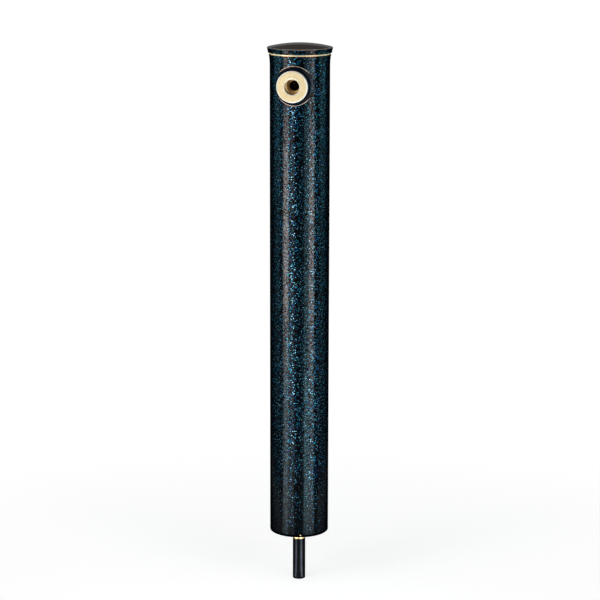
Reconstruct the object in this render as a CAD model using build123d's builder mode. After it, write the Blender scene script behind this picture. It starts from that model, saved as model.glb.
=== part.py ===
from build123d import *
import os
from math import cos, radians, sin, sqrt, tan

os.makedirs("parts", exist_ok=True)

# Garden standpipe. A painted steel tube stands in the ground and carries water to a
# threaded tap outlet near its top. A cap with a brass ring lifts off the tube's mouth, and
# a brass pipe runs down the middle and leaves the foot as a short sleeved tail.
# All lengths are in millimetres, with +Z up. The origin is the middle of the tube's foot,
# where the column meets the ground, and the outlet faces -Y.

# Clearances
slip = 0.05  # between fixed pieces that sit in each other
cap_gap = 0.3  # between the cap's plug and the tube it slides in
hole_gap = 0.5  # around the socket's barrel where it passes the tube wall
overrun = 1.0  # how far a cut runs past the piece it cuts

# Column tube
column_d = 76.3
column_wall = 1.5
column_h = 625.0
flare_h = 13.0
flare_out = 1.15
foot_chamfer = 0.4
column_r = column_d / 2
column_bore_r = column_r - column_wall
mouth_r = column_r + flare_out
mouth_bore_r = mouth_r - column_wall

# Tap outlet: its height, and the plane that looks out along its axis
outlet_drop = 36.0
outlet_z = column_h - outlet_drop
outlet = Plane(origin=(0, 0, outlet_z), x_dir=(1, 0, 0), z_dir=(0, -1, 0))
outlet_section = Plane(origin=(0, 0, outlet_z), x_dir=(0, 0, 1), z_dir=(1, 0, 0))
outlet_axis = Axis((0, 0, outlet_z), (0, -1, 0))

# Collar between the tube and the socket's flange, with a rubber sheet under it
gasket_t = 0.8
collar_plate_t = 1.2
collar_stand = 7.85
collar_boss_d = 39.2
collar_lip = 5.4
collar_fillet = 4.5
collar_edge_round = 0.5
collar_boss_r = collar_boss_d / 2
collar_plate_r = collar_boss_r + collar_lip
collar_seat_r = column_r + gasket_t
collar_front = column_r + collar_stand
fillet_share = 0.85

# Brass socket: flange, barrel and nose, all turned from one bar
flange_d = 39.6
flange_t = 4.0
flange_chamfer = 1.3
washer_t = 1.0
washer_proud = 0.4
barrel_d = 26.0
nose_wall = 3.9
nose_l = 10.0
waterway_d = 13.0
flange_r = flange_d / 2
barrel_r = barrel_d / 2
waterway_r = waterway_d / 2
nose_r = waterway_r + nose_wall
flange_back = collar_front + washer_t
flange_front = flange_back + flange_t

# The outlet's inside thread, half inch parallel pipe thread of 55 degrees
thread_crest_d = 18.631
thread_pitch = 1.814
thread_depth_share = 0.6403
thread_half_angle = 27.5
thread_turns = 8
mouth_chamfer = 1.88
thread_crest_r = thread_crest_d / 2
thread_depth = thread_pitch * thread_depth_share
thread_root_r = thread_crest_r + thread_depth
thread_flank = thread_depth * tan(radians(thread_half_angle))
thread_land = thread_pitch / 2 - thread_flank

# A plain ring stamped in the flange's face
stamp_d = 3.7
stamp_line = 0.5
stamp_depth = 0.3
stamp_angle = -59.0

# Clamp behind the tube wall: a cast saddle and a hexagon nut
saddle_t = 7.6
saddle_land = 6.0
lock_nut_t = 6.0
lock_nut_wall = 4.0
barrel_spare = 3.0
nut_chamfer = 1.0
saddle_r = barrel_r + saddle_land
saddle_face = column_bore_r - saddle_t
lock_nut_back = saddle_face - lock_nut_t
barrel_end = lock_nut_back - barrel_spare

# Riser pipe and its union under the elbow
riser_d = 15.88
riser_wall = 1.0
riser_flange_t = 2.0
union_lip = 2.46
union_drop = 30.0
union_nut_h = 15.0
union_nut_wall = 3.0
union_nut_floor = 4.0
riser_r = riser_d / 2
riser_bore_r = riser_r - riser_wall
union_r = riser_r + union_lip

# Elbow that turns the water from the riser to the socket
elbow_wall = 3.0
elbow_boss_wall = 3.0
elbow_floor = 3.0
elbow_neck = 14.0
seal_t = 1.5
seal_land = 2.3
elbow_r = waterway_r + elbow_wall
elbow_face = barrel_end - seal_t
elbow_end_z = outlet_z - union_drop
riser_top = elbow_end_z - seal_t

# Foot of the column: a moulded plug, its drive pins and the gland around the riser
plug_inset = 1.0
plug_h = 14.0
plug_floor = 4.0
plug_wall = 3.0
pin_d = 1.6
pin_head_d = 1.9
pin_head_h = 0.5
pin_rise = 3.0
pin_count = 3
pin_turn = 14.0
gland_wall = 3.0
gland_flange = 3.5
gland_flange_t = 3.5
gland_nut_h = 4.5
gland_nut_wall = 3.0
gland_spare = 2.0
gland_chamfer = 0.6
gland_seal_t = 2.2
gland_seal_h = 2.6
base_plug_r = column_bore_r - slip
plug_top = plug_inset + plug_h
plug_underside = plug_top - plug_floor
gland_r = riser_r + slip + gland_wall
gland_flange_r = gland_r + gland_flange
gland_seal_r = riser_r + gland_seal_t

# Tail of the riser below the foot
tail_l = 68.0
tail_bare = 12.4
sleeve_wall = 0.3
sleeve_chamfer = 0.2
sleeve_r = riser_r + sleeve_wall

# Spacers that centre the riser, and the foam around it
spacer_lower_z = 130.0
spacer_upper_z = 430.0
spacer_t = 6.0
spacer_rim = 2.2
spacer_hub = 3.2
spoke_w = 4.0
spoke_count = 4
foam_t = 12.0
spacer_rim_r = column_bore_r - slip
spacer_hub_r = riser_r + spacer_hub

# Brass trim ring that lies on the tube's mouth
ring_h = 2.5
ring_inset = 0.5
ring_round = 0.6
ring_top = column_h + ring_h
ring_r = mouth_r - ring_inset

# Cap: a domed lid screwed to a plug that slides in the tube
cap_overhang = 1.25
cap_flare = 1.45
cap_rim_h = 6.3
cap_dome = 5.3
cap_wall = 2.5
cap_rim_wall = 3.5
cap_edge_round = 1.0
boss_d = 8.0
boss_bury_share = 0.2
lid_plug_headroom = 4.0
lid_plug_wall = 3.8
lid_plug_plate = 2.5
lid_plug_rise = 0.7
neck_wall = 2.4
neck_inset = 2.4
o_ring_d = 2.0
o_ring_proud = 0.15
o_ring_share = 0.36
screw_d = 3.0
screw_l = 5.6
screw_head_d = 5.8
screw_head_h = 2.2
screw_count = 3
screw_circle_share = 0.66
rim_low_r = mouth_r + cap_overhang
rim_high_r = rim_low_r + cap_flare
rim_bore_r = rim_low_r - cap_rim_wall
rim_top = ring_top + cap_rim_h
cap_top = rim_top + cap_dome
dome_r = (rim_high_r**2 + cap_dome**2) / (2 * cap_dome)
lid_plug_r = column_bore_r - cap_gap - o_ring_proud
lid_plug_low = outlet_z + saddle_r + lid_plug_headroom
neck_r = lid_plug_r - neck_inset
lid_plug_top = ring_top + lid_plug_rise
plate_underside = lid_plug_top - lid_plug_plate
o_ring_r = o_ring_d / 2
o_ring_path_r = lid_plug_r + o_ring_proud - o_ring_r
o_ring_z = lid_plug_low + o_ring_share * (column_h - lid_plug_low)
groove_r = o_ring_path_r - o_ring_r - slip
screw_circle_r = neck_r * screw_circle_share
boss_r = boss_d / 2


def dome_drop(radius, sphere_r):
    """How far a dome of that sphere falls from its top at a radius from the axis."""
    return sphere_r - sqrt(sphere_r**2 - radius**2)


def dome_arc(radius, top):
    """The dome's arc from its top on the axis out to a radius."""
    middle = radius / 2
    shoulder = (middle, top - dome_drop(middle, dome_r))
    return ThreePointArc((0, top), shoulder, (radius, top - dome_drop(radius, dome_r)))


def tube(low, high, outer_r, inner_r):
    """A straight tube around the column's axis."""
    with BuildPart() as made:
        with BuildSketch(Plane.XY.offset(low)):
            Circle(outer_r)
            Circle(inner_r, mode=Mode.SUBTRACT)
        extrude(amount=high - low)
    return made.part


def outlet_ring(back, front, outer_r, inner_r):
    """A flat ring around the outlet's axis, between two distances from the column's axis."""
    with BuildPart() as made:
        with BuildSketch(outlet.offset(back)):
            Circle(outer_r)
            Circle(inner_r, mode=Mode.SUBTRACT)
        extrude(amount=front - back)
    return made.part


def hex_nut(seat, height, flat_r, bore_r):
    """A hexagon nut that rises from the plane seat, its corners turned off at both ends."""
    corner_r = flat_r / cos(radians(30))
    with BuildPart() as made:
        with BuildSketch(seat):
            Circle(corner_r)
        extrude(amount=height)
        chamfer(made.edges().filter_by(GeomType.CIRCLE), length=nut_chamfer)
        with BuildSketch(seat):
            RegularPolygon(flat_r, 6, major_radius=False)
        extrude(amount=height, mode=Mode.INTERSECT)
        with BuildSketch(seat):
            Circle(bore_r)
        extrude(amount=height, mode=Mode.SUBTRACT)
    return made.part


def save(piece, name):
    """Label a finished piece and write it to its own file."""
    piece.label = name
    export_step(piece, f"parts/{name}.step")


# Directions of the foot's drive pins, the first just to the right of the outlet
pin_directions = []
for step in range(pin_count):
    pin_bearing = radians(pin_turn - 90 + step * 360 / pin_count)
    pin_directions.append(Vector(cos(pin_bearing), sin(pin_bearing), 0))


def pin_seat(direction, radius):
    """The plane across a drive pin at a distance from the column's axis."""
    return Plane(origin=direction * radius + Vector(0, 0, pin_rise), z_dir=direction)


# Column tube: rolled steel with a mouth that flares a little, holed for the socket and pins
with BuildPart() as column_tube:
    with BuildSketch(Plane.XZ):
        with BuildLine():
            foot = Line((column_bore_r, 0), (column_r, 0))
            side = Line(foot @ 1, (column_r, column_h - flare_h))
            flare = TangentArc(side @ 1, (mouth_r, column_h), tangent=side % 1)
            mouth = Line(flare @ 1, (mouth_bore_r, column_h))
            bore = Line(foot @ 0, (column_bore_r, column_h - flare_h))
            TangentArc(bore @ 1, mouth @ 1, tangent=bore % 1)
        make_face()
    revolve(axis=Axis.Z)
    foot_edges = column_tube.edges().group_by(Axis.Z)[0]
    chamfer(foot_edges, length=foot_chamfer)
    with BuildSketch(outlet):
        Circle(barrel_r + hole_gap)
    extrude(amount=mouth_r + overrun, mode=Mode.SUBTRACT)
    for pin_direction in pin_directions:
        with BuildSketch(pin_seat(pin_direction, column_bore_r - overrun)):
            Circle(pin_d / 2 + slip)
        extrude(amount=column_wall + 2 * overrun, mode=Mode.SUBTRACT)
save(column_tube.part, "column_tube")

# Gasket: a rubber sheet bent round the tube, under the collar
with BuildPart() as collar_gasket:
    with BuildSketch(outlet):
        Circle(collar_plate_r - gasket_t)
        Circle(barrel_r + hole_gap, mode=Mode.SUBTRACT)
    extrude(amount=collar_seat_r)
    with BuildSketch(Plane.XY.offset(outlet_z - collar_plate_r)):
        Circle(collar_seat_r - slip)
        Circle(column_r + slip, mode=Mode.SUBTRACT)
    extrude(amount=2 * collar_plate_r, mode=Mode.INTERSECT)
save(collar_gasket.part, "collar_gasket")

# Collar: a cast boss that sweeps out into a thin saddle around the tube
collar_room = min(collar_lip, collar_stand - gasket_t - collar_plate_t)
with BuildPart() as collar:
    with BuildSketch(outlet):
        Circle(collar_plate_r)
    extrude(amount=collar_front)
    with BuildSketch(Plane.XY.offset(outlet_z - collar_plate_r)):
        Circle(collar_seat_r + collar_plate_t)
    extrude(amount=2 * collar_plate_r, mode=Mode.INTERSECT)
    plate_rim = collar.edges().filter_by(GeomType.BSPLINE)
    fillet(plate_rim, radius=collar_edge_round)
    with BuildSketch(outlet):
        Circle(collar_boss_r)
    extrude(amount=collar_front)
    boss_foot = collar.edges(Select.LAST).filter_by(GeomType.BSPLINE)
    fillet(boss_foot, radius=min(collar_fillet, fillet_share * collar_room))
    with BuildSketch(Plane.XY.offset(outlet_z - collar_plate_r - overrun)):
        Circle(collar_seat_r)
    extrude(amount=2 * (collar_plate_r + overrun), mode=Mode.SUBTRACT)
    with BuildSketch(outlet):
        Circle(barrel_r + slip)
    extrude(amount=collar_front + overrun, mode=Mode.SUBTRACT)
save(collar.part, "collar")

# Flange washer: thin black rubber between the collar and the socket's flange
flange_washer = outlet_ring(collar_front, flange_back, flange_r + washer_proud, barrel_r + slip)
save(flange_washer, "flange_washer")

# Tap socket: turned brass, with its inside thread cut as rings at the thread's own pitch
thread_start = flange_front - mouth_chamfer
with BuildPart() as tap_socket:
    with BuildSketch(outlet_section):
        with BuildLine():
            front_edge = flange_r - flange_chamfer
            outline = [(thread_crest_r + mouth_chamfer, flange_front)]
            outline += [(front_edge, flange_front), (flange_r, flange_front - flange_chamfer)]
            outline += [(flange_r, flange_back), (barrel_r, flange_back), (barrel_r, barrel_end)]
            outline += [(nose_r, barrel_end), (nose_r, barrel_end - nose_l)]
            outline += [(waterway_r, barrel_end - nose_l)]
            thread_end = thread_start - thread_turns * thread_pitch - thread_land
            outline += [(waterway_r, thread_end), (thread_crest_r, thread_end)]
            for turn in range(thread_turns, 0, -1):
                groove = thread_start - turn * thread_pitch
                outline.append((thread_crest_r, groove))
                outline.append((thread_root_r, groove + thread_flank))
                outline.append((thread_root_r, groove + thread_flank + thread_land))
                outline.append((thread_crest_r, groove + 2 * thread_flank + thread_land))
            outline.append((thread_crest_r, thread_start))
            Polyline(outline, close=True)
        make_face()
    revolve(axis=outlet_axis)
    stamp_path_r = (thread_crest_r + mouth_chamfer + front_edge) / 2
    with BuildSketch(outlet.offset(flange_front)):
        with PolarLocations(stamp_path_r, 1, start_angle=stamp_angle):
            Circle(stamp_d / 2)
            Circle(stamp_d / 2 - stamp_line, mode=Mode.SUBTRACT)
    extrude(amount=-stamp_depth, mode=Mode.SUBTRACT)
save(tap_socket.part, "tap_socket")

# Inner saddle: a cast block that fills the round of the tube wall and gives the nut a flat
with BuildPart() as inner_saddle:
    with BuildSketch(outlet.offset(saddle_face)):
        Circle(saddle_r)
        Circle(barrel_r + slip, mode=Mode.SUBTRACT)
    extrude(amount=saddle_t)
    with BuildSketch(Plane.XY.offset(outlet_z - saddle_r)):
        Circle(column_bore_r - slip)
    extrude(amount=2 * saddle_r, mode=Mode.INTERSECT)
save(inner_saddle.part, "inner_saddle")

# Lock nut on the barrel, pulling the socket and collar against the tube
lock_nut_seat = outlet.offset(lock_nut_back)
socket_lock_nut = hex_nut(lock_nut_seat, lock_nut_t, barrel_r + lock_nut_wall, barrel_r + slip)
save(socket_lock_nut, "socket_lock_nut")

# Elbow seal: a fibre ring between the barrel's shoulder and the elbow
elbow_seal = outlet_ring(elbow_face, barrel_end, nose_r + seal_land, nose_r + slip)
save(elbow_seal, "elbow_seal")

# Elbow: cast brass, socketed for the socket's nose and threaded outside for the union
nose_pocket = barrel_end - nose_l - slip
with BuildPart() as elbow:
    with BuildSketch(outlet.offset(nose_pocket - elbow_floor)):
        Circle(nose_r + elbow_boss_wall)
    extrude(amount=elbow_face - nose_pocket + elbow_floor)
    with BuildSketch(outlet):
        Circle(elbow_r)
    extrude(amount=elbow_face)
    with BuildSketch(Plane.XY.offset(outlet_z)):
        Circle(elbow_r)
    extrude(amount=-elbow_neck)
    with Locations((0, 0, outlet_z)):
        Sphere(elbow_r)
    with BuildSketch(Plane.XY.offset(elbow_end_z)):
        Circle(union_r)
    extrude(amount=union_drop - elbow_neck)
    with BuildSketch(outlet):
        Circle(waterway_r)
    extrude(amount=elbow_face, mode=Mode.SUBTRACT)
    with BuildSketch(Plane.XY.offset(elbow_end_z)):
        Circle(waterway_r)
    extrude(amount=union_drop, mode=Mode.SUBTRACT)
    with Locations((0, 0, outlet_z)):
        Sphere(waterway_r, mode=Mode.SUBTRACT)
    with BuildSketch(outlet.offset(nose_pocket)):
        Circle(nose_r + slip)
    extrude(amount=elbow_face - nose_pocket, mode=Mode.SUBTRACT)
save(elbow.part, "elbow")

# Union seal: a fibre ring between the elbow's end and the riser's flange
union_seal = tube(riser_top, elbow_end_z, union_r - slip, waterway_r)
save(union_seal, "union_seal")

# Union nut: hangs on the riser's flange and draws it up against the elbow
union_nut_low = riser_top - riser_flange_t - union_nut_floor
union_seat = Plane.XY.offset(union_nut_low)
with BuildPart() as union_nut:
    add(hex_nut(union_seat, union_nut_h, union_r + union_nut_wall, riser_r + slip))
    with BuildSketch(Plane.XY.offset(riser_top - riser_flange_t)):
        Circle(union_r + slip)
    extrude(amount=union_nut_h, mode=Mode.SUBTRACT)
save(union_nut.part, "union_nut")

# Riser pipe: drawn brass, flanged at its top, with its tail below the column's foot
with BuildPart() as riser_pipe:
    with BuildSketch(Plane.XY.offset(-tail_l)):
        Circle(riser_r)
    extrude(amount=riser_top + tail_l)
    with BuildSketch(Plane.XY.offset(riser_top)):
        Circle(union_r - slip)
    extrude(amount=-riser_flange_t)
    with BuildSketch(Plane.XY.offset(-tail_l)):
        Circle(riser_bore_r)
    extrude(amount=riser_top + tail_l, mode=Mode.SUBTRACT)
save(riser_pipe.part, "riser_pipe")

# Tail sleeve: a thin black coat on the buried end of the riser
with BuildPart() as tail_sleeve:
    add(tube(-tail_l, -tail_bare, sleeve_r, riser_r))
    sleeve_rims = tail_sleeve.edges().filter_by(GeomType.CIRCLE).sort_by(SortBy.RADIUS)[-2:]
    chamfer(sleeve_rims, length=sleeve_chamfer)
save(tail_sleeve.part, "tail_sleeve")


def pipe_spacer(height):
    """A spoked plastic disc that centres the riser in the column."""
    spoke_l = spacer_rim_r - spacer_rim - spacer_hub_r
    with BuildPart() as spacer:
        with BuildSketch(Plane.XY.offset(height)):
            Circle(spacer_rim_r)
            Circle(spacer_rim_r - spacer_rim, mode=Mode.SUBTRACT)
            Circle(spacer_hub_r)
            with PolarLocations(spacer_hub_r + spoke_l / 2, spoke_count):
                Rectangle(spoke_l + spacer_rim, spoke_w)
            Circle(riser_r + slip, mode=Mode.SUBTRACT)
        extrude(amount=spacer_t)
    return spacer.part


pipe_spacer_lower = pipe_spacer(spacer_lower_z)
pipe_spacer_upper = pipe_spacer(spacer_upper_z)
save(pipe_spacer_lower, "pipe_spacer_lower")
save(pipe_spacer_upper, "pipe_spacer_upper")

# Frost foam around the riser, held between the two spacers
foam_low = spacer_lower_z + spacer_t
pipe_foam = tube(foam_low, spacer_upper_z, riser_r + foam_t, riser_r + slip)
save(pipe_foam, "pipe_foam")

# Base plug: an upturned plastic cup inside the foot
with BuildPart() as base_plug:
    with BuildSketch(Plane.XY.offset(plug_inset)):
        Circle(base_plug_r)
    extrude(amount=plug_h)
    with BuildSketch(Plane.XY.offset(plug_inset)):
        Circle(base_plug_r - plug_wall)
    extrude(amount=plug_h - plug_floor, mode=Mode.SUBTRACT)
    with BuildSketch(Plane.XY.offset(plug_inset)):
        Circle(gland_r + slip)
    extrude(amount=plug_h, mode=Mode.SUBTRACT)
    for pin_direction in pin_directions:
        with BuildSketch(pin_seat(pin_direction, base_plug_r - plug_wall - overrun)):
            Circle(pin_d / 2 + slip)
        extrude(amount=plug_wall + 2 * overrun, mode=Mode.SUBTRACT)
save(base_plug.part, "base_plug")

# Drive pins through the foot of the tube into the base plug
with BuildPart() as base_pins:
    for pin_direction in pin_directions:
        with BuildSketch(pin_seat(pin_direction, base_plug_r - plug_wall)):
            Circle(pin_d / 2)
        extrude(amount=plug_wall + slip + column_wall)
        with BuildSketch(pin_seat(pin_direction, column_r)):
            Circle(pin_head_d / 2)
        extrude(amount=pin_head_h)
        pin_crown = base_pins.faces().sort_by(Axis((0, 0, 0), pin_direction))[-1]
        fillet(pin_crown.edges(), radius=pin_head_h * fillet_share)
save(base_pins.part, "base_pins")

# Gland that seals the riser where it passes the base plug
with BuildPart() as base_gland:
    with BuildSketch(Plane.XY.offset(plug_underside - gland_nut_h - gland_spare)):
        Circle(gland_r)
    extrude(amount=gland_nut_h + gland_spare + plug_floor)
    with BuildSketch(Plane.XY.offset(plug_top)):
        Circle(gland_flange_r)
    extrude(amount=gland_flange_t)
    gland_top = base_gland.faces().sort_by(Axis.Z)[-1]
    chamfer(gland_top.edges(), length=gland_chamfer)
    with BuildSketch(Plane.XY.offset(plug_underside - gland_nut_h - gland_spare)):
        Circle(riser_r + slip)
    extrude(amount=gland_nut_h + gland_spare + plug_floor + gland_flange_t, mode=Mode.SUBTRACT)
    with BuildSketch(Plane.XY.offset(plug_top + gland_flange_t - gland_seal_h)):
        Circle(gland_seal_r + slip)
    extrude(amount=gland_seal_h, mode=Mode.SUBTRACT)
save(base_gland.part, "base_gland")

# Rubber seal pressed into the gland around the riser
gland_seal_top = plug_top + gland_flange_t
gland_seal = tube(gland_seal_top - gland_seal_h, gland_seal_top, gland_seal_r, riser_r + slip)
save(gland_seal, "gland_seal")

# Hexagon nut that holds the gland from below
gland_nut_seat = Plane.XY.offset(plug_underside - gland_nut_h)
gland_nut = hex_nut(gland_nut_seat, gland_nut_h, gland_r + gland_nut_wall, gland_r + slip)
save(gland_nut, "gland_nut")

# Trim ring: polished brass, rounded outside, lying on the tube's mouth
with BuildPart() as cap_trim_ring:
    add(tube(column_h, ring_top, ring_r, neck_r + slip))
    ring_edges = cap_trim_ring.edges().filter_by(GeomType.CIRCLE).sort_by(SortBy.RADIUS)[-2:]
    fillet(ring_edges, radius=ring_round)
save(cap_trim_ring.part, "cap_trim_ring")

# Top cap: a painted casting with a flared rim, a shallow dome and three screw bosses
rim_bore_top = cap_top - cap_wall - dome_drop(rim_bore_r, dome_r)
boss_top = cap_top - dome_drop(screw_circle_r + boss_r, dome_r) - boss_bury_share * cap_wall
with BuildPart() as top_cap:
    with BuildSketch(Plane.XZ):
        with BuildLine():
            crown_rim = (rim_high_r, cap_top - dome_drop(rim_high_r, dome_r))
            flare_line = TangentArc((rim_low_r, ring_top), crown_rim, tangent=(0, 1))
            crown = dome_arc(rim_high_r, cap_top)
            apex = Line(crown @ 0, crown @ 0 - (0, cap_wall))
            ceiling = dome_arc(rim_bore_r, cap_top - cap_wall)
            rim_bore = Line(ceiling @ 1, (rim_bore_r, ring_top))
            Line(rim_bore @ 1, flare_line @ 0)
        make_face()
    revolve(axis=Axis.Z)
    rim_edge = top_cap.edges().sort_by_distance((0, rim_high_r, rim_top))[0]
    fillet(rim_edge, radius=cap_edge_round)
    with BuildSketch(Plane.XY.offset(lid_plug_top)):
        with PolarLocations(screw_circle_r, screw_count):
            Circle(boss_r)
    extrude(amount=boss_top - lid_plug_top)
    with BuildSketch(Plane.XY.offset(lid_plug_top)):
        with PolarLocations(screw_circle_r, screw_count):
            Circle(screw_d / 2 + slip)
    extrude(amount=screw_l - lid_plug_plate + slip, mode=Mode.SUBTRACT)
save(top_cap.part, "top_cap")

# Cap plug: a moulded cup whose neck carries the trim ring and takes the screws
with BuildPart() as cap_plug:
    with BuildSketch(Plane.XZ):
        with BuildLine():
            skirt_bore_r = lid_plug_r - lid_plug_wall
            neck_bore_r = neck_r - neck_wall
            skirt_top = column_h - lid_plug_plate
            plug_line = [(0, plate_underside), (0, lid_plug_top), (neck_r, lid_plug_top)]
            plug_line += [(neck_r, column_h), (lid_plug_r, column_h)]
            plug_line += [(lid_plug_r, o_ring_z + o_ring_r + slip), (groove_r, o_ring_z + o_ring_r + slip)]
            plug_line += [(groove_r, o_ring_z - o_ring_r - slip), (lid_plug_r, o_ring_z - o_ring_r - slip)]
            plug_line += [(lid_plug_r, lid_plug_low), (skirt_bore_r, lid_plug_low)]
            plug_line += [(skirt_bore_r, skirt_top), (neck_bore_r, skirt_top)]
            plug_line += [(neck_bore_r, plate_underside)]
            Polyline(plug_line, close=True)
        make_face()
    revolve(axis=Axis.Z)
    with BuildSketch(Plane.XY.offset(plate_underside)):
        with PolarLocations(screw_circle_r, screw_count):
            Circle(screw_d / 2 + slip)
    extrude(amount=lid_plug_plate, mode=Mode.SUBTRACT)
save(cap_plug.part, "cap_plug")

# Cap O-ring: grips the tube's bore so that the cap doesn't rattle
with BuildPart() as cap_o_ring:
    with BuildSketch(Plane.XZ):
        with Locations((o_ring_path_r, o_ring_z)):
            Circle(o_ring_r)
    revolve(axis=Axis.Z)
save(cap_o_ring.part, "cap_o_ring")

# Cap screws, driven up through the plug's plate into the cap's bosses
with BuildPart() as cap_screws:
    with BuildSketch(Plane.XY.offset(plate_underside)):
        with PolarLocations(screw_circle_r, screw_count):
            Circle(screw_d / 2)
    extrude(amount=screw_l)
    with BuildSketch(Plane.XY.offset(plate_underside)):
        with PolarLocations(screw_circle_r, screw_count):
            Circle(screw_head_d / 2)
    extrude(amount=-screw_head_h)
    head_edges = cap_screws.edges().group_by(Axis.Z)[0]
    fillet(head_edges, radius=screw_head_h / 2)
save(cap_screws.part, "cap_screws")

print("column and cap stand", round(cap_top, 2), "above the ground")
print("overall length", round(cap_top + tail_l, 2))
print("outlet face", round(flange_front, 2), "from the column's axis")
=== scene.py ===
import bpy
from math import atan2, cos, hypot, pi, radians, sin, tan
from mathutils import Matrix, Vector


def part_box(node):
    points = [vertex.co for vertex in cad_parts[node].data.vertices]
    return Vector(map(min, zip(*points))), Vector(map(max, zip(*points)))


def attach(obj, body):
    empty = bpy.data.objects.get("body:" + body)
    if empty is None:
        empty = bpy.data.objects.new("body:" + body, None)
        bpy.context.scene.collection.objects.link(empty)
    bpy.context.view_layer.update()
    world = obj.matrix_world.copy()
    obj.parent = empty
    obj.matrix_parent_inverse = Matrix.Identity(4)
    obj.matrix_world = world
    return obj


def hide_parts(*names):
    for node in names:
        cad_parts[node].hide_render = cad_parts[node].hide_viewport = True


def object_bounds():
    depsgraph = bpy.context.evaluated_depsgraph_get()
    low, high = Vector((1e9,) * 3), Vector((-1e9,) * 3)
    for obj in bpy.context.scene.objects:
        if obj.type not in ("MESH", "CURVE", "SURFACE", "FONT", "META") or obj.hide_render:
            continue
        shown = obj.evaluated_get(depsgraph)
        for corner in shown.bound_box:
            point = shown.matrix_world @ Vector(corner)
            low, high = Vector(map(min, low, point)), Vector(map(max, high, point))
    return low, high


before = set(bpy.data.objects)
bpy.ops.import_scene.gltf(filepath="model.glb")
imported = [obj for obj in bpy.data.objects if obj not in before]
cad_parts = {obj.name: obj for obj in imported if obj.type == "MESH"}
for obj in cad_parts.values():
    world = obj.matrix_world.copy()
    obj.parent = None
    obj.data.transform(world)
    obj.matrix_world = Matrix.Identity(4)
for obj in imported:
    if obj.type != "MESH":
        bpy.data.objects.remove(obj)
cad_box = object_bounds()

# Riser pipe and tail sleeve. A drawn brass pipe carries the water up the whole height of the
# column. Below the foot a black sleeve is shrunk over it, and a narrow band of bare brass is
# left between the two.


def add_node(tree, kind, settings=None, **sockets):
    """A node with its settings, whose sockets take a value or a link. i0 is its first socket."""
    node = tree.nodes.new("ShaderNode" + kind)
    for setting, value in (settings or {}).items():
        setattr(node, setting, value)
    for name, value in sockets.items():
        by_number = name[0] == "i" and name[1:].isdigit()
        socket = node.inputs[int(name[1:]) if by_number else name.replace("_", " ")]
        if isinstance(value, bpy.types.NodeSocket):
            tree.links.new(value, socket)
        else:
            socket.default_value = value
    return node


def calculate(tree, operation, *values):
    """The result of a Math node."""
    sockets = {f"i{number}": value for number, value in enumerate(values)}
    return add_node(tree, "Math", {"operation": operation}, **sockets).outputs[0]


def fade(tree, value, start, end, low=0.0, high=1.0):
    """A value that goes evenly from low to high while another goes from start to end."""
    return add_node(tree, "MapRange", Value=value, From_Min=start, From_Max=end,
                    To_Min=low, To_Max=high).outputs[0]


def mix(tree, kind, mask, below, above):
    """One of two colours, vectors or numbers laid over the other where a mask is one."""
    first, second, result = {"FLOAT": (2, 3, 0), "VECTOR": (4, 5, 1), "RGBA": (6, 7, 2)}[kind]
    sockets = {f"i{first}": below, f"i{second}": above}
    return add_node(tree, "Mix", {"data_type": kind}, Factor=mask, **sockets).outputs[result]


def object_place(tree):
    """Where a point lies on its piece."""
    return add_node(tree, "TexCoord").outputs["Object"]


def object_axis(tree, axis):
    """How far along one axis a point lies on its piece."""
    return add_node(tree, "SeparateXYZ", Vector=object_place(tree)).outputs[axis]


def new_group(name, numbers, results):
    """A node group that takes a place and named numbers, and what it is given inside."""
    group = bpy.data.node_groups.new(name, "ShaderNodeTree")
    group.interface.new_socket("Vector", in_out="INPUT", socket_type="NodeSocketVector")
    for number, value in numbers.items():
        socket = group.interface.new_socket(number, in_out="INPUT", socket_type="NodeSocketFloat")
        socket.default_value = value
    for result, kind in results.items():
        group.interface.new_socket(result, in_out="OUTPUT", socket_type="NodeSocket" + kind)
    return group, group.nodes.new("NodeGroupInput").outputs


def put_out(group, **results):
    """Links the results of a node group to its output."""
    last = group.nodes.new("NodeGroupOutput")
    for name, result in results.items():
        group.links.new(result, last.inputs[name])


def new_material(name, **constants):
    """A material with its node tree and its shader, which holds the constants itself."""
    material = bpy.data.materials.new(name)
    material.use_nodes = True
    shader = material.node_tree.nodes["Principled BSDF"]
    for socket, value in constants.items():
        shader.inputs[socket.replace("_", " ")].default_value = value
    return material, material.node_tree, shader


def feed_shader(tree, shader, **sources):
    """Links what changes over the surface to the shader."""
    for socket, source in sources.items():
        tree.links.new(source, shader.inputs[socket.replace("_", " ")])


def build_grain():
    """Fine unevenness of a made surface: a mask of stains, and a height of small grain."""
    group, given = new_group("surface_grain", {"Grain Size": 0.001, "Stain Size": 0.02},
                             {"Stain": "Float", "Height": "Float"})
    grain_scale = calculate(group, "DIVIDE", 1.0, given["Grain Size"])
    stain_scale = calculate(group, "DIVIDE", 1.0, given["Stain Size"])
    grain = add_node(group, "TexNoise", Vector=given["Vector"], Scale=grain_scale, Detail=3.0)
    stain = add_node(group, "TexNoise", Vector=given["Vector"], Scale=stain_scale, Detail=4.0,
                     Roughness=0.6)
    put_out(group, Stain=fade(group, stain.outputs["Fac"], 0.35, 0.7), Height=grain.outputs["Fac"])
    return group


surface_grain = build_grain()


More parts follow.
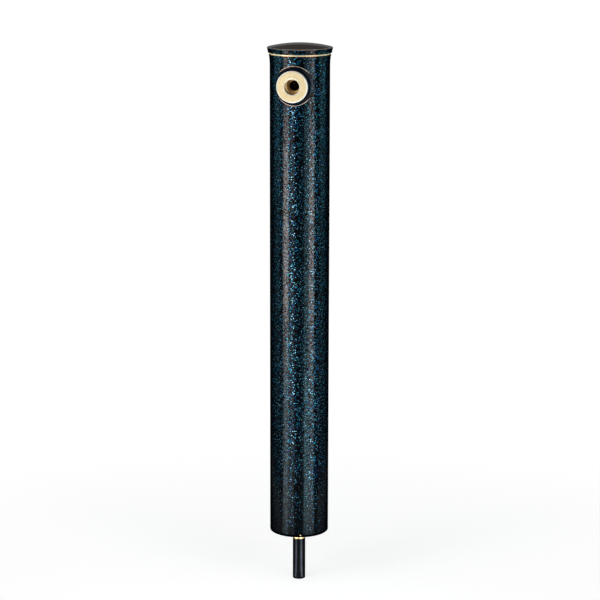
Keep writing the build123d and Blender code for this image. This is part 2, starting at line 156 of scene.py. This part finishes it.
def grained_material(name, light, dark, roughness, spread, grain_size, stain_size, depth,
                     stretch=(1, 1, 1), **constants):
    """A finish whose colour and gloss vary a little with its stains, over a fine grain."""
    material, tree, shader = new_material(name, **constants)
    drawn = add_node(tree, "Mapping", Vector=object_place(tree), Scale=stretch)
    grain = add_node(tree, "Group", {"node_tree": surface_grain}, Vector=drawn.outputs[0],
                     Grain_Size=grain_size, Stain_Size=stain_size)
    stain = grain.outputs["Stain"]
    bump = add_node(tree, "Bump", Strength=1.0, Distance=depth, Height=grain.outputs["Height"])
    feed_shader(
        tree, shader, Base_Color=mix(tree, "RGBA", stain, (*light, 1), (*dark, 1)),
        Roughness=fade(tree, stain, 0.0, 1.0, low=roughness, high=roughness + spread),
        Normal=bump.outputs[0])
    return material


def finish_nodes(material, *names):
    """Gives CAD nodes a finish in every material slot that they have."""
    for name in names:
        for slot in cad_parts[name].material_slots:
            slot.material = material


drawn_brass = grained_material(
    "drawn_brass", light=(0.78, 0.52, 0.25), dark=(0.64, 0.4, 0.17), roughness=0.3, spread=0.15,
    grain_size=0.0006, stain_size=0.02, depth=0.00002, stretch=(1, 1, 0.08), Metallic=1.0)
finish_nodes(drawn_brass, "riser_pipe")

black_sleeve = grained_material(
    "black_sleeve", light=(0.010, 0.010, 0.012), dark=(0.008, 0.008, 0.010), roughness=0.22,
    spread=0.05, grain_size=0.0012, stain_size=0.015, depth=0.00001, stretch=(1, 1, 0.4),
    Metallic=1.0, Specular_Tint=(0.1, 0.1, 0.1, 1))
finish_nodes(black_sleeve, "tail_sleeve")

# Base fittings. A cup moulded in grey plastic closes the foot. A cast brass gland clamped
# through it by a hexagon nut lets the riser pass, and a rubber ring in the gland grips the
# pipe.
grey_moulding = grained_material(
    "grey_moulding", light=(0.26, 0.27, 0.28), dark=(0.2, 0.21, 0.22), roughness=0.5, spread=0.15,
    grain_size=0.0006, stain_size=0.02, depth=0.00002)
finish_nodes(grey_moulding, "base_plug")

cast_brass = grained_material(
    "cast_brass", light=(0.68, 0.49, 0.24), dark=(0.5, 0.33, 0.15), roughness=0.42, spread=0.2,
    grain_size=0.0008, stain_size=0.012, depth=0.00006, Metallic=1.0)
finish_nodes(cast_brass, "base_gland", "gland_nut")

black_rubber = grained_material(
    "black_rubber", light=(0.014, 0.014, 0.015), dark=(0.03, 0.03, 0.03), roughness=0.6,
    spread=0.2, grain_size=0.0005, stain_size=0.01, depth=0.00003)
finish_nodes(black_rubber, "gland_seal")

# Pipe spacers and foam. Two spoked discs moulded in grey plastic slide on the riser and keep
# it in the middle of the column, and a sleeve of pale foam between them keeps frost out.
finish_nodes(grey_moulding, "pipe_spacer_lower", "pipe_spacer_upper")

frost_foam = grained_material(
    "frost_foam", light=(0.72, 0.73, 0.75), dark=(0.6, 0.61, 0.63), roughness=0.9, spread=0.1,
    grain_size=0.0025, stain_size=0.03, depth=0.0006)
finish_nodes(frost_foam, "pipe_foam")

# Elbow and union. A cast brass elbow turns the water from the riser to the outlet, and a
# brass union nut draws the riser up to it. A ring of red fibre seals each of its two joints.
finish_nodes(cast_brass, "elbow", "union_nut")

red_fibre = grained_material(
    "red_fibre", light=(0.42, 0.06, 0.035), dark=(0.28, 0.035, 0.02), roughness=0.75, spread=0.15,
    grain_size=0.0004, stain_size=0.006, depth=0.00005)
finish_nodes(red_fibre, "elbow_seal", "union_seal")

# Column tube and drive pins. Rolled steel tube, primed grey inside and sprayed outside with a
# near-black navy full of teal and blue metal flakes, darkened towards the foot as painted shade.
# Its gloss is duller low down, and where hands touch the top. Small brass pins driven in near
# the foot hold the plug.
finish_nodes(cast_brass, "base_pins")

paint_ground = (0.0001, 0.0004, 0.0008, 1)
flake_colors = [
    (0.0, (0.001, 0.058, 0.21)), (0.18, (0.002, 0.11, 0.32)), (0.22, (0.14, 0.05, 0.17)),
    (0.26, (0.003, 0.15, 0.36)), (0.5, (0.006, 0.27, 0.29)), (0.62, (0.006, 0.21, 0.41)),
    (0.75, (0.05, 0.41, 0.58)), (1.0, (0.38, 0.7, 0.88))]


def product(tree, value, *others):
    """The product of two or more values."""
    for other in others:
        value = calculate(tree, "MULTIPLY", value, other)
    return value


def build_flakes():
    """Flakes in lacquer: where one lies, a random pick for its colour, and its tilted normal."""
    group, given = new_group("lacquer_flakes", {"Flake Size": 0.001, "Coverage": 0.3, "Tilt": 0.3},
                             {"Mask": "Float", "Pick": "Float", "Normal": "Vector"})
    scale = calculate(group, "DIVIDE", 1.0, given["Flake Size"])
    cells = add_node(group, "TexVoronoi", Vector=given["Vector"], Scale=scale)
    picks = add_node(group, "SeparateColor", Color=cells.outputs["Color"])
    patches = add_node(group, "TexNoise", Vector=given["Vector"],
                       Scale=calculate(group, "MULTIPLY", scale, 0.45), Detail=1.0)
    gather = fade(group, patches.outputs["Fac"], 0.36, 0.6, low=0.8, high=1.0)
    cover = product(group, gather, given["Coverage"])
    lies = calculate(group, "LESS_THAN", picks.outputs["Red"], cover)
    shape = fade(group, cells.outputs["Distance"], 0.55, 0.4)
    lean = add_node(group, "VectorMath", {"operation": "SUBTRACT"},
                    i0=cells.outputs["Color"], i1=(0.5, 0.5, 0.5))
    tilt = add_node(group, "VectorMath", {"operation": "SCALE"},
                    i0=lean.outputs[0], Scale=given["Tilt"])
    surface = add_node(group, "NewGeometry")
    turned = add_node(group, "VectorMath", {"operation": "ADD"},
                      i0=surface.outputs["Normal"], i1=tilt.outputs[0])
    normal = add_node(group, "VectorMath", {"operation": "NORMALIZE"}, i0=turned.outputs[0])
    put_out(group, Mask=product(group, lies, shape), Pick=picks.outputs["Green"],
            Normal=normal.outputs[0])
    return group


lacquer_flakes = build_flakes()


def flake_paint(name, haze, flake_size, coverage, tilt, roughness, coat):
    """Flake paint: a dark ground, a field of colour flakes, and a coat that glints in grains."""
    material, tree, shader = new_material(
        name, Anisotropic=0.8, Anisotropic_Rotation=0.25, Specular_IOR_Level=0.0,
        Specular_Tint=(0.1, 0.12, 0.14, 1), Coat_Roughness=0.15, Coat_IOR=2.4)
    place = object_place(tree)
    height = object_axis(tree, "Z")
    turned_away = add_node(tree, "LayerWeight", Blend=0.5).outputs["Facing"]

    # Colour flakes, fewer towards the foot, over a ground that the grain of the coat hazes.
    cover = fade(tree, height, 0.0, 0.2, low=coverage * 0.3, high=coverage)
    flakes = add_node(tree, "Group", {"node_tree": lacquer_flakes}, Vector=place,
                      Flake_Size=flake_size, Coverage=cover, Tilt=tilt).outputs
    glints = add_node(tree, "Group", {"node_tree": lacquer_flakes}, Vector=place,
                      Flake_Size=flake_size * 1.3, Coverage=1.0).outputs
    ramp = add_node(tree, "ValToRGB", Fac=flakes["Pick"])
    stops = ramp.color_ramp.elements
    for where, color in flake_colors[1:-1]:
        stops.new(where)
    for stop, (where, color) in zip(stops, flake_colors):
        stop.color = (*color, 1)
    under = mix(tree, "RGBA", glints["Pick"], paint_ground, (*haze, 1))
    color = mix(tree, "RGBA", flakes["Mask"], under, ramp.outputs[0])

    # Painted shade: the flakes are darkened low down, and fade into the ground where the tube
    # turns away from the camera. The last few millimetres above the foot's rim have lost them to
    # wear.
    painted_foot_shade = fade(tree, height, 0.0, 0.14, low=0.15, high=1.0)
    painted_edge_shade = fade(tree, turned_away, 0.35, 0.72, low=1.0, high=0.15)
    above_rim = fade(tree, height, 0.0025, 0.0045)
    bright = product(tree, painted_foot_shade, painted_edge_shade, above_rim)

    # The coat's sheen: broken into grains, weaker low down and where hands touch the top.
    low_haze = fade(tree, height, 0.0, 0.15, low=0.32, high=0.0)
    glint = fade(tree, glints["Pick"], 0.0, 1.0, low=low_haze, high=1.0)
    face_on = fade(tree, turned_away, 0.3, 0.7, low=coat, high=0.0)
    clean = fade(tree, height, 0.0, 0.22, low=0.1, high=1.0)
    handled = fade(tree, height, 0.5, 0.56, low=1.0, high=0.55)
    sheen = product(tree, glint, face_on, clean, handled, above_rim)

    surface = add_node(tree, "NewGeometry")
    round_axis = add_node(tree, "Tangent", {"direction_type": "RADIAL", "axis": "Z"})
    feed_shader(
        tree, shader, Base_Color=mix(tree, "RGBA", bright, paint_ground, color),
        Metallic=product(tree, flakes["Mask"], 0.85),
        Roughness=fade(tree, flakes["Mask"], 0.0, 1.0, low=0.6, high=roughness),
        Normal=mix(tree, "VECTOR", flakes["Mask"], surface.outputs["Normal"], flakes["Normal"]),
        Coat_Weight=sheen, Tangent=round_axis.outputs[0])
    return material


def lay_over(material, mask, color, **values):
    """Lays another finish over a material where a mask is one."""
    tree = material.node_tree
    shader = tree.nodes["Principled BSDF"]
    for name, above in {"Base_Color": (*color, 1), **values}.items():
        socket = shader.inputs[name.replace("_", " ")]
        below = socket.links[0].from_socket if socket.is_linked else socket.default_value
        kind = "RGBA" if name == "Base_Color" else "FLOAT"
        tree.links.new(mix(tree, kind, mask, below, above), socket)


def reach_from_axis(tree, first, second):
    """How far a point lies from an axis, from its two distances across it."""
    across = add_node(tree, "CombineXYZ", X=first, Y=second)
    length = add_node(tree, "VectorMath", {"operation": "LENGTH"}, i0=across.outputs[0])
    return length.outputs["Value"]


column_paint = flake_paint(
    "column_paint", haze=(0.0004, 0.0018, 0.0035), flake_size=0.00112, coverage=0.28, tilt=0.4,
    roughness=0.3, coat=0.37)
between_walls = 0.0372
tube_tree = column_paint.node_tree
tube_reach = reach_from_axis(tube_tree, object_axis(tube_tree, "X"), object_axis(tube_tree, "Y"))
primed = calculate(tube_tree, "LESS_THAN", tube_reach, between_walls)
lay_over(column_paint, primed, (0.02, 0.021, 0.024), Metallic=0.0, Roughness=0.6, Coat_Weight=0.0)
finish_nodes(column_paint, "column_tube")

# Inner saddle and lock nut. A zinc casting gives the round wall of the tube a flat inside, and
# a brass hexagon nut on the socket's barrel clamps socket, collar, tube and saddle together.
zinc_cast = grained_material(
    "zinc_cast", light=(0.5, 0.51, 0.53), dark=(0.32, 0.32, 0.33), roughness=0.45, spread=0.2,
    grain_size=0.0012, stain_size=0.012, depth=0.0001, Metallic=1.0)
finish_nodes(zinc_cast, "inner_saddle")
finish_nodes(cast_brass, "socket_lock_nut")

# Collar and gasket. A casting in the column's paint, with a curved rubber sheet between it and
# the tube. Across its middle it is painted a smooth, flakeless near-black as painted shade, and
# above and below the outlet a pale painted highlight lies along its thin outer edge.
outlet_height = (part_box("tap_socket")[0][2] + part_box("tap_socket")[1][2]) / 2


def build_outlet_ring():
    """A ring about the outlet's axis: one between the two radii, and zero elsewhere."""
    group, given = new_group("outlet_ring", {"Inner": 0.01, "Outer": 0.02}, {"Mask": "Float"})
    split = add_node(group, "SeparateXYZ", Vector=given["Vector"])
    rise = calculate(group, "SUBTRACT", split.outputs["Z"], outlet_height)
    reach = reach_from_axis(group, split.outputs["X"], rise)
    beyond = calculate(group, "GREATER_THAN", reach, given["Inner"])
    within = calculate(group, "LESS_THAN", reach, given["Outer"])
    put_out(group, Mask=product(group, beyond, within))
    return group


outlet_ring = build_outlet_ring()


def ring_mask(tree, inner, outer):
    """The mask of a ring about the outlet's axis, in a material."""
    return add_node(tree, "Group", {"node_tree": outlet_ring}, Vector=object_place(tree),
                    Inner=inner, Outer=outer).outputs["Mask"]


collar_paint = flake_paint(
    "collar_paint", haze=(0.0004, 0.0018, 0.0035), flake_size=0.0011, coverage=0.3, tilt=0.5,
    roughness=0.4, coat=0.3)
collar_tree = collar_paint.node_tree
collar_aside = calculate(collar_tree, "ABSOLUTE", object_axis(collar_tree, "X"))
# Painted shade: a smooth near-black without flakes across the collar's middle.
painted_collar_shade = fade(collar_tree, collar_aside, 0.0245, 0.019)
lay_over(collar_paint, painted_collar_shade, (0.0012, 0.0035, 0.008), Metallic=0.0, Roughness=0.35,
         Coat_Weight=0.05)
# Painted highlight: a pale metallic arc on the collar's outer edge above and below the outlet.
highlight_from, highlight_to = 0.0244, 0.04
near_middle = fade(collar_tree, collar_aside, 0.0205, 0.016)
painted_edge_highlight = product(collar_tree, ring_mask(collar_tree, highlight_from, highlight_to), near_middle)
lay_over(collar_paint, painted_edge_highlight, (0.85, 0.62, 0.5), Metallic=0.6, Roughness=0.4)
finish_nodes(collar_paint, "collar")
finish_nodes(black_rubber, "collar_gasket")

# Tap socket and flange washer. Turned from brass bar and lacquered: a flange with a tapped
# mouth, a barrel through the column's wall, and a nose for the elbow's seal. Its turned rims
# carry pale painted highlights, its thread and bore painted shade and a painted orange highlight,
# and a rubber ring lies behind the flange.
finish_nodes(black_rubber, "flange_washer")

socket_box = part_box("tap_socket")
face = socket_box[0][1]
end = socket_box[1][1]
crest = 0.0093155
root = 0.010477
pitch = 0.001814
thread_depth = 0.0167
mouth_chamfer = 0.00188
mouth_edge = crest + mouth_chamfer
bore = 0.0065
nose = 0.0104
nose_start = end - 0.01
barrel = 0.013
flange_back = face + 0.004
flange_seat = 0.0194
flange_edge = (socket_box[1][2] - socket_box[0][2]) / 2
flange_round = 0.0013
flange_corner = (flange_edge, face + 0.0036)
round_middle = (flange_edge - 0.0003, face + 0.0007)
small_break = 0.0005
turned_profile = [
    (mouth_edge, face), (crest, face + mouth_chamfer), (crest, face + thread_depth),
    (bore, face + thread_depth), (bore, end - small_break), (bore + small_break, end),
    (nose - small_break, end), (nose, end - small_break), (nose, nose_start),
    (barrel - small_break, nose_start), (barrel, nose_start - small_break), (barrel, flange_back),
    (flange_seat, flange_back), flange_corner, (flange_edge, face + flange_round),
    round_middle, (flange_edge - flange_round, face), (mouth_edge, face)]

bpy.ops.object.select_all(action="DESELECT")
bpy.ops.mesh.primitive_circle_add(
    vertices=128, radius=mouth_edge, location=(0, face, outlet_height), rotation=(pi / 2, 0, 0))
socket = bpy.context.object
socket.name = "threaded_tap_socket"
bpy.ops.object.mode_set(mode="EDIT")
bpy.ops.mesh.select_all(action="SELECT")
for (width, depth), (next_width, next_depth) in zip(turned_profile, turned_profile[1:]):
    bpy.ops.mesh.extrude_region_move(
        TRANSFORM_OT_translate={"value": (0, next_depth - depth, 0)})
    grow = next_width / width
    bpy.ops.transform.resize(
        value=(grow, 1, grow), center_override=(0, next_depth, outlet_height))
bpy.ops.mesh.select_all(action="SELECT")
bpy.ops.mesh.remove_doubles(threshold=0.000001)
bpy.ops.mesh.normals_make_consistent(inside=False)
bpy.ops.object.mode_set(mode="OBJECT")

# The tap's cut: one tooth's outline, carried round and inward along the thread's helix.
lead_in = 0.003
run_out = 0.0008
steps_a_turn = 48
tooth_base = crest - 0.0001
half_base, half_tip = 0.00081, 0.00015
tooth_corners = [
    (tooth_base, half_base), (tooth_base, -half_base), (root, -half_tip), (root, half_tip)]
bpy.ops.object.select_all(action="DESELECT")
bpy.ops.mesh.primitive_plane_add(size=1, location=(crest, face - lead_in, outlet_height))
tooth = bpy.context.object
bpy.ops.object.transform_apply(location=True)
for number, (reach, along_axis) in zip(tooth.data.polygons[0].vertices, tooth_corners):
    tooth.data.vertices[number].co = (reach, face - lead_in + along_axis, outlet_height)
bpy.ops.object.mode_set(mode="EDIT")
bpy.ops.mesh.select_all(action="SELECT")
for step in range(round((lead_in + thread_depth - run_out) / pitch * steps_a_turn)):
    bpy.ops.mesh.extrude_region_move(
        TRANSFORM_OT_translate={"value": (0, pitch / steps_a_turn, 0)})
    bpy.ops.transform.rotate(
        value=2 * pi / steps_a_turn, orient_axis="Y", center_override=(0, 0, outlet_height))
bpy.ops.mesh.select_all(action="SELECT")
bpy.ops.mesh.normals_make_consistent(inside=False)
bpy.ops.object.mode_set(mode="OBJECT")

# A small ring is stamped in the flange's face, low on the right.
stamp_turn = radians(-59)
stamp_reach = (mouth_edge + flange_edge - flange_round) / 2
stamp_radius, stamp_depth = 0.0016, 0.00028
bpy.ops.object.select_all(action="DESELECT")
bpy.ops.mesh.primitive_torus_add(
    major_radius=stamp_radius, minor_radius=stamp_depth, major_segments=40, minor_segments=12,
    location=(stamp_reach * cos(stamp_turn), face, outlet_height + stamp_reach * sin(stamp_turn)),
    rotation=(pi / 2, 0, 0))
stamp = bpy.context.object
for cutter in (tooth, stamp):
    bpy.ops.object.select_all(action="DESELECT")
    socket.select_set(True)
    bpy.context.view_layer.objects.active = socket
    cut = socket.modifiers.new("cut", "BOOLEAN")
    cut.operation = "DIFFERENCE"
    cut.solver = "EXACT"
    cut.object = cutter
    bpy.ops.object.modifier_apply(modifier="cut")
    bpy.data.objects.remove(cutter, do_unlink=True)
bpy.ops.object.transform_apply(location=True, rotation=True, scale=True)
bpy.ops.object.shade_smooth_by_angle(angle=radians(25))

# Its finish: painted highlights on the turned rims, and in the mouth bands of painted shade
# and of painted orange highlight.
socket_brass = grained_material(
    "socket_brass", light=(0.83, 0.68, 0.41), dark=(0.76, 0.59, 0.33), roughness=0.42,
    spread=0.08, grain_size=0.0011, stain_size=0.004, depth=0.00003, Metallic=0.4)
socket_tree = socket_brass.node_tree
beyond_all = 1.0
# Pale painted highlights on the mouth's chamfer, on its edge and on the flange's round rim.
for inner, outer, color, metal in (
        (crest, mouth_edge, (0.92, 0.82, 0.62), 0.3),
        (mouth_edge - 0.0003, mouth_edge, (1.0, 0.97, 0.9), 0.2),
        (flange_edge - flange_round, beyond_all, (0.95, 0.9, 0.8), 0.3)):
    lay_over(socket_brass, ring_mask(socket_tree, inner, outer), color, Metallic=metal)
# Bands in the mouth: painted shade past the chamfer, a painted orange highlight on the thread from
# 6.5 mm in, painted shade in its roots, and near-black painted shade deep in the bore.
inward = object_axis(socket_tree, "Y")
past_root = root + 0.0003
past_bore = bore + 0.0001
for start, inner, outer, color, metal, gloss in (
        (0.0019, 0.0, past_root, (0.2, 0.08, 0.03), 0.7, 0.35),
        (0.0065, 0.0, past_root, (1.0, 0.58, 0.22), 0.6, 0.35),
        (0.0019, crest + 0.0003, past_root, (0.12, 0.05, 0.02), 0.7, 0.4),
        (thread_depth, 0.0, past_bore, (0.05, 0.03, 0.015), 0.5, 0.5)):
    deep = fade(socket_tree, inward, face + start, face + start + 0.0004)
    inside = product(socket_tree, deep, ring_mask(socket_tree, inner, outer))
    lay_over(socket_brass, inside, color, Metallic=metal, Roughness=gloss)
socket.data.materials.clear()
socket.data.materials.append(socket_brass)
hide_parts("tap_socket")
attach(socket, "column")

# Top cap and its plug. A pressed lid in the column's paint: its dome is painted a warm grey as a
# painted reflection, and a thin pale painted highlight runs round the edge between dome and rim.
# Three plated screws hold a black moulded plug under it, and a rubber O-ring on the plug grips
# the tube.
cap_paint = flake_paint(
    "cap_paint", haze=(0.0006, 0.002, 0.004), flake_size=0.00102, coverage=0.2, tilt=0.5,
    roughness=0.4, coat=0.3)
cap_tree = cap_paint.node_tree
cap_surface = add_node(cap_tree, "NewGeometry")
faces_up = add_node(cap_tree, "SeparateXYZ", Vector=cap_surface.outputs["Normal"]).outputs["Z"]
# Painted highlight: a pale metallic band where the surface turns upward, on the round edge.
lay_over(cap_paint, fade(cap_tree, faces_up, 0.5, 0.7), (0.7, 0.56, 0.48), Metallic=0.5,
         Roughness=0.4)
# Painted reflection: the dome, which faces up, is painted a matte warm grey.
lay_over(cap_paint, fade(cap_tree, faces_up, 0.955, 0.966), (0.07, 0.06, 0.055), Metallic=0.0,
         Roughness=0.6, Coat_Weight=0.2)
finish_nodes(cap_paint, "top_cap")

black_moulding = grained_material(
    "black_moulding", light=(0.022, 0.022, 0.024), dark=(0.035, 0.035, 0.037), roughness=0.45,
    spread=0.15, grain_size=0.0006, stain_size=0.02, depth=0.00002)
finish_nodes(black_moulding, "cap_plug")
finish_nodes(black_rubber, "cap_o_ring")

bright_zinc = grained_material(
    "bright_zinc", light=(0.6, 0.61, 0.64), dark=(0.45, 0.46, 0.48), roughness=0.3, spread=0.15,
    grain_size=0.0003, stain_size=0.004, depth=0.00001, Metallic=1.0)
finish_nodes(bright_zinc, "cap_screws")

# Cap trim ring. A bright brass ring pressed on under the cap's rim, so that it shows as a
# thin line between the cap and the tube's mouth, with painted shade in deep orange along its lower
# edge.
ring_brass = grained_material(
    "ring_brass", light=(1.0, 0.88, 0.62), dark=(1.0, 0.66, 0.34), roughness=0.4, spread=0.1,
    grain_size=0.0008, stain_size=0.006, depth=0.00001, Metallic=0.4)
ring_tree = ring_brass.node_tree
# Painted shade: a deep orange laid over the ring's lower edge.
painted_lower_shade = fade(ring_tree, object_axis(ring_tree, "Z"), 0.6262, 0.6252)
lay_over(ring_brass, painted_lower_shade, (0.85, 0.4, 0.15), Metallic=0.6)
finish_nodes(ring_brass, "cap_trim_ring")

# Studio floor. A wide pale floor that the column's tail stands on. Only the lamps light it,
# and around the backdrop it gives the paint something darker than a white sheet to mirror.
tail_end = cad_box[0][2]
floor_drop = 0.0005
bpy.ops.object.select_all(action="DESELECT")
bpy.ops.mesh.primitive_circle_add(
    vertices=96, radius=9.0, fill_type="NGON", location=(0, 0, tail_end - floor_drop))
floor = bpy.context.object
floor.name = "studio_floor"
pale, _, _ = new_material(
    "pale_floor", Base_Color=(0.7, 0.7, 0.7, 1), Roughness=0.9, Specular_IOR_Level=0.1)
floor.data.materials.append(pale)

# Backdrop. A white sheet that lies under and behind the column and sweeps up at the back,
# square to the camera. Its front is narrow and ends close before the column, so that the
# lamps' light and not the sheet's shows in the paint.
camera_turn = radians(11.5)
sheet_width = 2.0
sheet_front, sheet_start = -0.09, 0.01
front_share = 0.42
sheet_run = 3.2
sheet_rise = 1.2
bend_steps = 10
bend_step = 0.08
bpy.ops.object.select_all(action="DESELECT")
bpy.ops.mesh.primitive_plane_add(size=1)
sweep = bpy.context.object
sweep.name = "studio_sweep"
bpy.ops.object.mode_set(mode="EDIT")
bpy.ops.mesh.select_all(action="SELECT")
bpy.ops.transform.resize(value=(sheet_width, sheet_start - sheet_front, 1))
bpy.ops.transform.translate(value=(0, (sheet_front + sheet_start) / 2, tail_end))
bpy.ops.mesh.select_mode(type="EDGE")
bpy.ops.mesh.select_all(action="DESELECT")
bpy.ops.object.mode_set(mode="OBJECT")
for edge in sweep.data.edges:
    edge.select = min(sweep.data.vertices[number].co.y for number in edge.vertices) > 0
bpy.ops.object.mode_set(mode="EDIT")
bpy.ops.mesh.extrude_region_move(TRANSFORM_OT_translate={"value": (0, sheet_run, 0)})
for step in range(bend_steps):
    turn = radians(90) * (step + 0.5) / bend_steps
    bpy.ops.mesh.extrude_region_move(
        TRANSFORM_OT_translate={"value": (0, bend_step * cos(turn), bend_step * sin(turn))})
bpy.ops.mesh.extrude_region_move(TRANSFORM_OT_translate={"value": (0, 0, sheet_rise)})
bpy.ops.mesh.select_all(action="DESELECT")
bpy.ops.object.mode_set(mode="OBJECT")
for edge in sweep.data.edges:
    edge.select = max(sweep.data.vertices[number].co.y for number in edge.vertices) < 0.05
bpy.ops.object.mode_set(mode="EDIT")
bpy.ops.transform.resize(value=(front_share, 1, 1), center_override=(0, 0, 0))
bpy.ops.mesh.select_all(action="SELECT")
bpy.ops.mesh.faces_shade_smooth()
bpy.ops.transform.rotate(value=-camera_turn, orient_axis="Z", center_override=(0, 0, 0))
bpy.ops.object.mode_set(mode="OBJECT")

# The camera, metal and glass see the sheet shine white, a little less close to the column.
white_sheet, sheet_tree, sheet_shader = new_material(
    "white_sheet", Base_Color=(0.3, 0.3, 0.3, 1), Roughness=0.9, Specular_IOR_Level=0.0)
rays = add_node(sheet_tree, "LightPath").outputs
seen = calculate(sheet_tree, "MAXIMUM", rays["Is Camera Ray"], rays["Is Glossy Ray"])
seen = calculate(sheet_tree, "MAXIMUM", seen, rays["Is Transmission Ray"])
away = add_node(sheet_tree, "VectorMath", {"operation": "LENGTH"}, i0=object_place(sheet_tree))
far = fade(sheet_tree, away.outputs["Value"], 0.15, 0.9, low=0.8, high=1.0)
strength = product(sheet_tree, seen, far)
shine = add_node(sheet_tree, "Emission", Color=(1, 1, 1, 1), Strength=strength)
both = add_node(sheet_tree, "AddShader", i0=sheet_shader.outputs[0], i1=shine.outputs[0])
sheet_tree.links.new(both.outputs[0], sheet_tree.nodes["Material Output"].inputs["Surface"])
sweep.data.materials.append(white_sheet)

# Lamps. A bright strip, a softer panel and a weak side panel on each side of the camera. Each
# rises in leaves from near the foot, the first ones lying on the floor for the tail to mirror,
# and a wide weak lamp hangs overhead for the cap.
leaf_line = [
    (0.013, -0.067), (0.03, -0.0665), (0.08, -0.066), (0.2, -0.064), (0.32, 0.0), (0.45, 0.1),
    (0.45, 0.2), (0.45, 0.38), (0.45, 0.5), (0.45, 0.85)]


def leaning_lamp(name, turn, spread, radiances, tint):
    """A lamp at a turn from the camera, as wide as an angle seen from the column's axis."""
    bearing = camera_turn + radians(turn)
    for leaf, (low, high) in enumerate(zip(leaf_line, leaf_line[1:])):
        if not radiances[leaf]:
            continue
        reach = (low[0] + high[0]) / 2
        run = high[0] - low[0]
        rise = high[1] - low[1]
        lamp = bpy.data.lights.new(f"{name}_{leaf}", "AREA")
        lamp.shape = "RECTANGLE"
        lamp.size = 2 * reach * tan(radians(spread) / 2)
        lamp.size_y = hypot(run, rise)
        lamp.energy = radiances[leaf] * pi * lamp.size * lamp.size_y
        lamp.color = tint
        stand = bpy.data.objects.new(lamp.name, lamp)
        bpy.context.scene.collection.objects.link(stand)
        stand.location = (reach * sin(bearing), -reach * cos(bearing), (low[1] + high[1]) / 2)
        stand.rotation_euler = (pi / 2 + atan2(run, rise), 0, bearing)
        stand.visible_camera = False


pale_blue = (0.82, 0.96, 1)
sky_blue = (0.4, 0.9, 1)
leaning_lamp("left_strip_foot", -53, 20, (11, 11, 11, 4.2, 2.4, 0, 0, 0, 0), pale_blue)
leaning_lamp("left_strip", -53, 20, (0, 0, 0, 0, 0, 2.3, 5.3, 4.5, 3.8), (1.0, 0.86, 0.8))
leaning_lamp("left_panel", -34, 29, (0, 0, 0, 2.2, 1.3, 0.7, 0.7, 0.9, 1.7), (0.85, 0.96, 1))
leaning_lamp("left_side", -95, 34, (0, 0, 0, 0.05, 0.08, 0.12, 0.2, 0.5, 1.3), sky_blue)
leaning_lamp("right_strip_foot", 45, 20, (14, 14, 14, 4.4, 2.4, 0, 0, 0, 0), pale_blue)
leaning_lamp("right_strip", 45, 20, (0, 0, 0, 0, 0, 2.5, 4.0, 3.3, 3.2), (1.0, 0.88, 0.84))
leaning_lamp("right_panel", 26, 17, (0, 4, 4, 6.0, 2.8, 1.2, 1.0, 1.1, 1.4), (0.58, 0.93, 1))
leaning_lamp("right_side", 95, 34, (0, 0, 0, 0.05, 0.08, 0.12, 0.2, 0.45, 1.2), sky_blue)

overhead = bpy.data.lights.new("overhead", "AREA")
overhead.size = 1.2
overhead.energy = pi * overhead.size**2
overhead_stand = bpy.data.objects.new("overhead", overhead)
bpy.context.scene.collection.objects.link(overhead_stand)
overhead_stand.location = (0, 0, 1.9)

world = bpy.data.worlds.new("studio_air")
bpy.context.scene.world = world
world.use_nodes = True
air = world.node_tree.nodes["Background"]
air.inputs["Color"].default_value = (1, 1, 1, 1)
air.inputs["Strength"].default_value = 0.06

# Camera. A long lens 2.6 m away, a little to the right of the outlet and above the cap, which
# looks down at the column. Its focal length is given in pixels of the 600-pixel photograph.
focal_length = 2069.7
photo_width = 600
camera_reach = 2.6047
camera_height = 0.8854
look_down = radians(12.487)
look_aside = radians(0.014)
camera_roll = radians(0.11)
camera_data = bpy.data.cameras.new("photo_camera")
camera_data.sensor_width = 36
camera_data.lens = camera_data.sensor_width * focal_length / photo_width
camera_data.dof.use_dof = False
camera = bpy.data.objects.new("photo_camera", camera_data)
bpy.context.scene.collection.objects.link(camera)
stood = Matrix.Translation(
    (camera_reach * sin(camera_turn), -camera_reach * cos(camera_turn), camera_height))
turned = Matrix.Rotation(camera_turn - look_aside, 4, "Z")
tipped = Matrix.Rotation(radians(90) - look_down, 4, "X")
rolled = Matrix.Rotation(camera_roll, 4, "Z")
camera.matrix_world = stood @ turned @ tipped @ rolled
bpy.context.scene.camera = camera
bpy.context.scene.view_settings.view_transform = "Standard"
